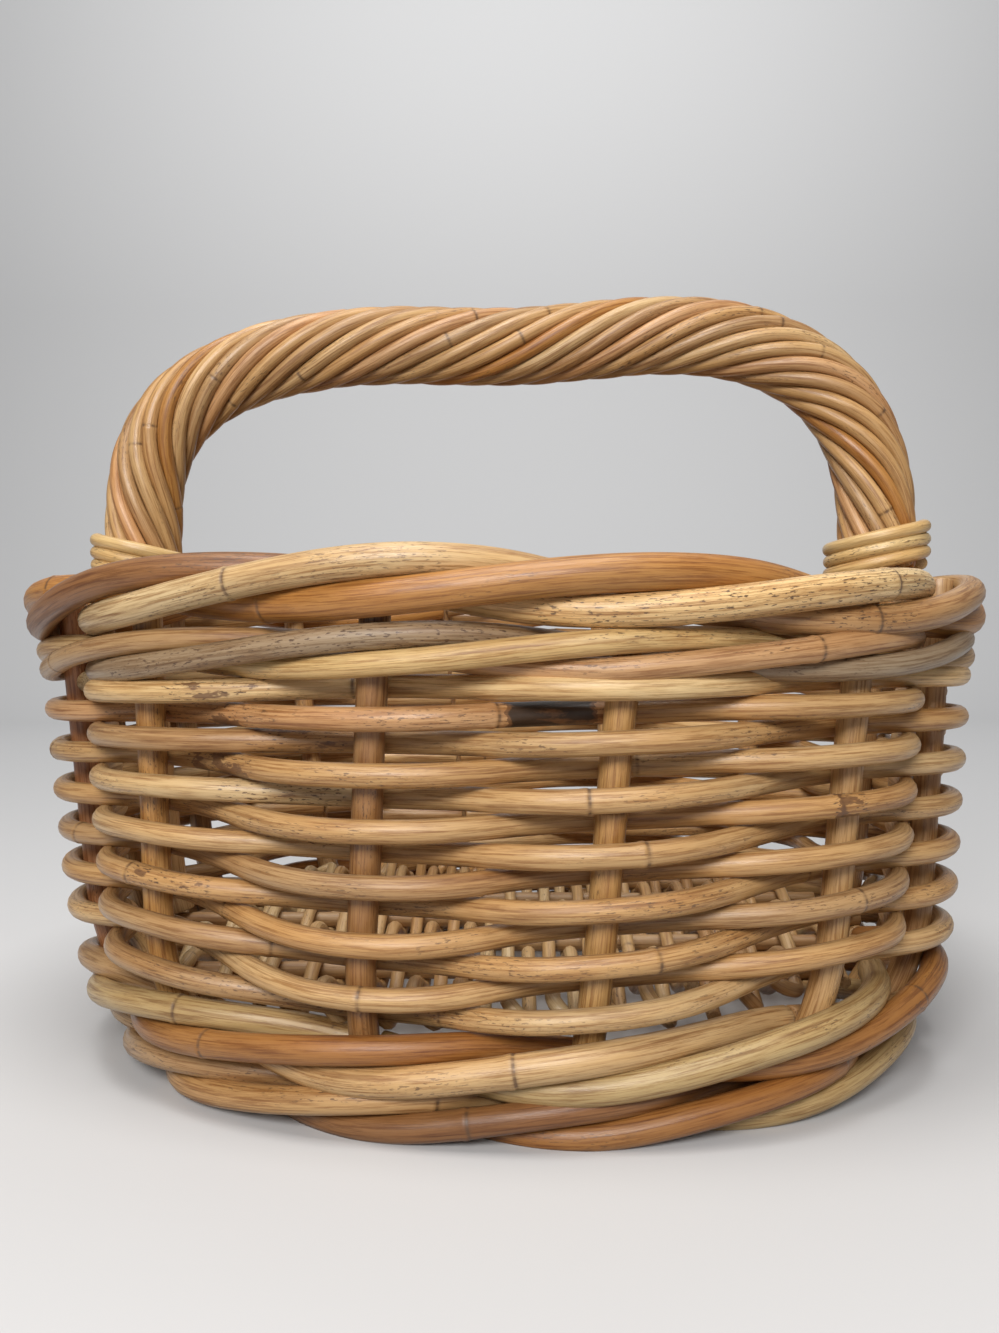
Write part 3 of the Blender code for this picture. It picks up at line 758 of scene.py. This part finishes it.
def tail(side):
    """The end of the core, from the floor up the inner side of the wall, on the left or right."""
    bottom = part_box("handle_core")[0].z
    top = HANDLE_FOOT_Z - TAIL_TOP_GAP
    inset = WALL_HALF_WIDTH - HANDLE_HALF_SPAN
    points = []
    for step in range(TAIL_STEPS + 1):
        height = bottom + (top - bottom) * step / TAIL_STEPS
        points.append(Vector((side * (wall_half_sizes(min(height, RIM_HEIGHT))[0] - inset), 0, height)))
    return points


bow = [arch.at(arch.length * step / CORE_ARCH_STEPS) for step in range(CORE_ARCH_STEPS + 1)]
core_line = Line(tail(-1) + bow + tail(1)[::-1])
tail_length = Line(tail(1)).length


def core_taper(share):
    """Thin in the tails and thick under the wound rods."""
    from_end = min(share, 1 - share) * core_line.length
    thick = min(max((from_end - tail_length) / CORE_TAPER_LENGTH, 0), 1)
    return (TAIL_THICKNESS + (CORE_THICKNESS - TAIL_THICKNESS) * thick) / CORE_THICKNESS


core = lay_rod("core", core_line.at, 0, core_line.length, CORE_STEPS, CORE_THICKNESS, TAN, taper=core_taper)
fit_piece("handle_core", [core], handle_rattan)


def winding_path(start_angle):
    """The way of one rod wound round the handle."""
    radius = (HANDLE_THICKNESS - HANDLE_ROD_THICKNESS) / 2

    def path(distance):
        centre = arch.at(distance)
        along = arch_direction(distance)
        outward = Vector((-along.z, 0, along.x))
        angle = start_angle - 2 * math.pi * distance / TWIST_PITCH
        return centre + (outward * math.cos(angle) + Vector((0, -1, 0)) * math.sin(angle)) * radius

    return path


winding_tints = (HONEY, TAN, PALE, HONEY, PEACH, TAN, HONEY, HONEY, ORANGE, PALE, TAN, PEACH)
for number in range(HANDLE_RODS):
    node = f"handle_rod_{number + 1:02d}"
    path = winding_path(2 * math.pi * number / HANDLE_RODS)
    rod = lay_rod(node, path, 0, arch.length, WINDING_STEPS, HANDLE_ROD_THICKNESS, winding_tints[number])
    fit_piece(node, [rod], handle_rattan)

LASHING_THICKNESS = 5.5 * MM
LASHING_TURNS = 3
LASHING_PITCH = 5.1 * MM
LASHING_STEPS = 120
# The lashings slant up outwards, and are pulled down between the rods of the border.
LASHING_SLANT = 0.18
LEFT_LASHING_DROP, RIGHT_LASHING_DROP = 6 * MM, 2.5 * MM
lashing_rattan = rattan("lashing_rattan", 0.45, 0.25)
for side, node, drop in ((-1, "lashing_left", LEFT_LASHING_DROP), (1, "lashing_right", RIGHT_LASHING_DROP)):
    radius = (HANDLE_THICKNESS + LASHING_THICKNESS) / 2 + WEAVE_CLEARANCE
    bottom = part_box(node)[0].z - drop

    def turns(turn, side=side, bottom=bottom, radius=radius):
        angle = 2 * math.pi * turn
        x = side * (HANDLE_HALF_SPAN + radius * math.cos(angle))
        height = bottom + LASHING_THICKNESS / 2 + LASHING_PITCH * turn
        return Vector((x, radius * math.sin(angle), height + LASHING_SLANT * radius * math.cos(angle)))

    lashing = lay_rod(node, turns, 0, LASHING_TURNS, LASHING_STEPS, LASHING_THICKNESS, OLIVE, knots=())
    fit_piece(node, [lashing], lashing_rattan)

# The basket stands on a plain pale floor that curves up behind it, under soft lamps.
FLOOR_WIDTH = 6
FLOOR_FRONT = -3.0
CURVE_START = 1.6
CURVE_RADIUS = 1.0
CURVE_STEPS = 24
WALL_TOP = 3.0
# The floor looks paler to the camera and in reflections than it does to the light that it throws back.
FLOOR_SEEN = (0.62, 0.62, 0.62, 1)
FLOOR_LIT = (0.30, 0.30, 0.31, 1)
SKY_COLOUR = (0.95, 0.97, 1.0, 1)
SKY_STRENGTH = 0.21
bpy.ops.object.select_all(action="DESELECT")
bpy.ops.mesh.primitive_plane_add(size=1, location=(0, 0, 0))
floor = bpy.context.object
floor.name = "studio_floor"
profile = [(FLOOR_FRONT, 0.0)]
for step in range(CURVE_STEPS + 1):
    angle = step * math.pi / (2 * CURVE_STEPS)
    profile.append((CURVE_START + CURVE_RADIUS * math.sin(angle), CURVE_RADIUS * (1 - math.cos(angle))))
profile.append((CURVE_START + CURVE_RADIUS, WALL_TOP))
body = bmesh.new()
rows = [[body.verts.new((side * FLOOR_WIDTH / 2, y, z)) for side in (-1, 1)] for y, z in profile]
for near, far in zip(rows, rows[1:]):
    body.faces.new((near[0], near[1], far[1], far[0]))
body.to_mesh(floor.data)
body.free()
bpy.ops.object.shade_smooth()
paper = bpy.data.materials.new("pale_floor")
paper.use_nodes = True
nodes, links = paper.node_tree.nodes, paper.node_tree.links
rays = nodes.new("ShaderNodeLightPath")
seen = nodes.new("ShaderNodeMath")
seen.operation = "MAXIMUM"
links.new(rays.outputs["Is Camera Ray"], seen.inputs[0])
links.new(rays.outputs["Is Glossy Ray"], seen.inputs[1])
tone = nodes.new("ShaderNodeMix")
tone.data_type = "RGBA"
sockets = {socket.identifier: socket for socket in (*tone.inputs, *tone.outputs)}
links.new(seen.outputs["Value"], sockets["Factor_Float"])
sockets["A_Color"].default_value = FLOOR_LIT
sockets["B_Color"].default_value = FLOOR_SEEN
links.new(sockets["Result_Color"], nodes["Principled BSDF"].inputs["Base Color"])
nodes["Principled BSDF"].inputs["Roughness"].default_value = 0.9
floor.data.materials.append(paper)

world = bpy.data.worlds.new("studio")
bpy.context.scene.world = world
world.use_nodes = True
world.node_tree.nodes["Background"].inputs["Color"].default_value = SKY_COLOUR
world.node_tree.nodes["Background"].inputs["Strength"].default_value = SKY_STRENGTH


def lamp(name, place, target, size, power, colour):
    """A wide soft lamp that shines from a place on a target."""
    bpy.ops.object.light_add(type="AREA", location=place)
    light = bpy.context.object
    light.name = name
    light.rotation_euler = (Vector(target) - Vector(place)).to_track_quat("-Z", "Y").to_euler()
    light.data.shape = "RECTANGLE"
    light.data.size, light.data.size_y = size
    light.data.energy = power
    light.data.color = colour


lamp("top_lamp", place=(-0.1, -0.35, 1.4), target=(0, 0, 0.1), size=(0.8, 0.5), power=11.5,
     colour=(1, 0.98, 0.96))
lamp("front_lamp", place=(-0.2, -1.4, 0.85), target=(0, 0, 0.12), size=(0.8, 0.5), power=21,
     colour=(1, 0.98, 0.97))
lamp("backdrop_lamp", place=(0, 1.0, 2.2), target=(0, 2.6, 0.9), size=(2.4, 0.6), power=36,
     colour=(1, 1, 1))

# The camera stands in front of the basket a little below its rim, close to it, as in the photo.
CAMERA_PLACE = (0.005, -0.505, 0.1575)
CAMERA_TURNS = (math.radians(88.35), math.radians(0.3), math.radians(1.0))
LENS, SENSOR_WIDTH = 32.4, 36
CLIP_START = 0.01
bpy.ops.object.camera_add(location=CAMERA_PLACE, rotation=CAMERA_TURNS)
camera = bpy.context.object
camera.data.lens = LENS
camera.data.sensor_width = SENSOR_WIDTH
camera.data.clip_start = CLIP_START
bpy.context.scene.camera = camera
bpy.context.scene.view_settings.view_transform = "Standard"
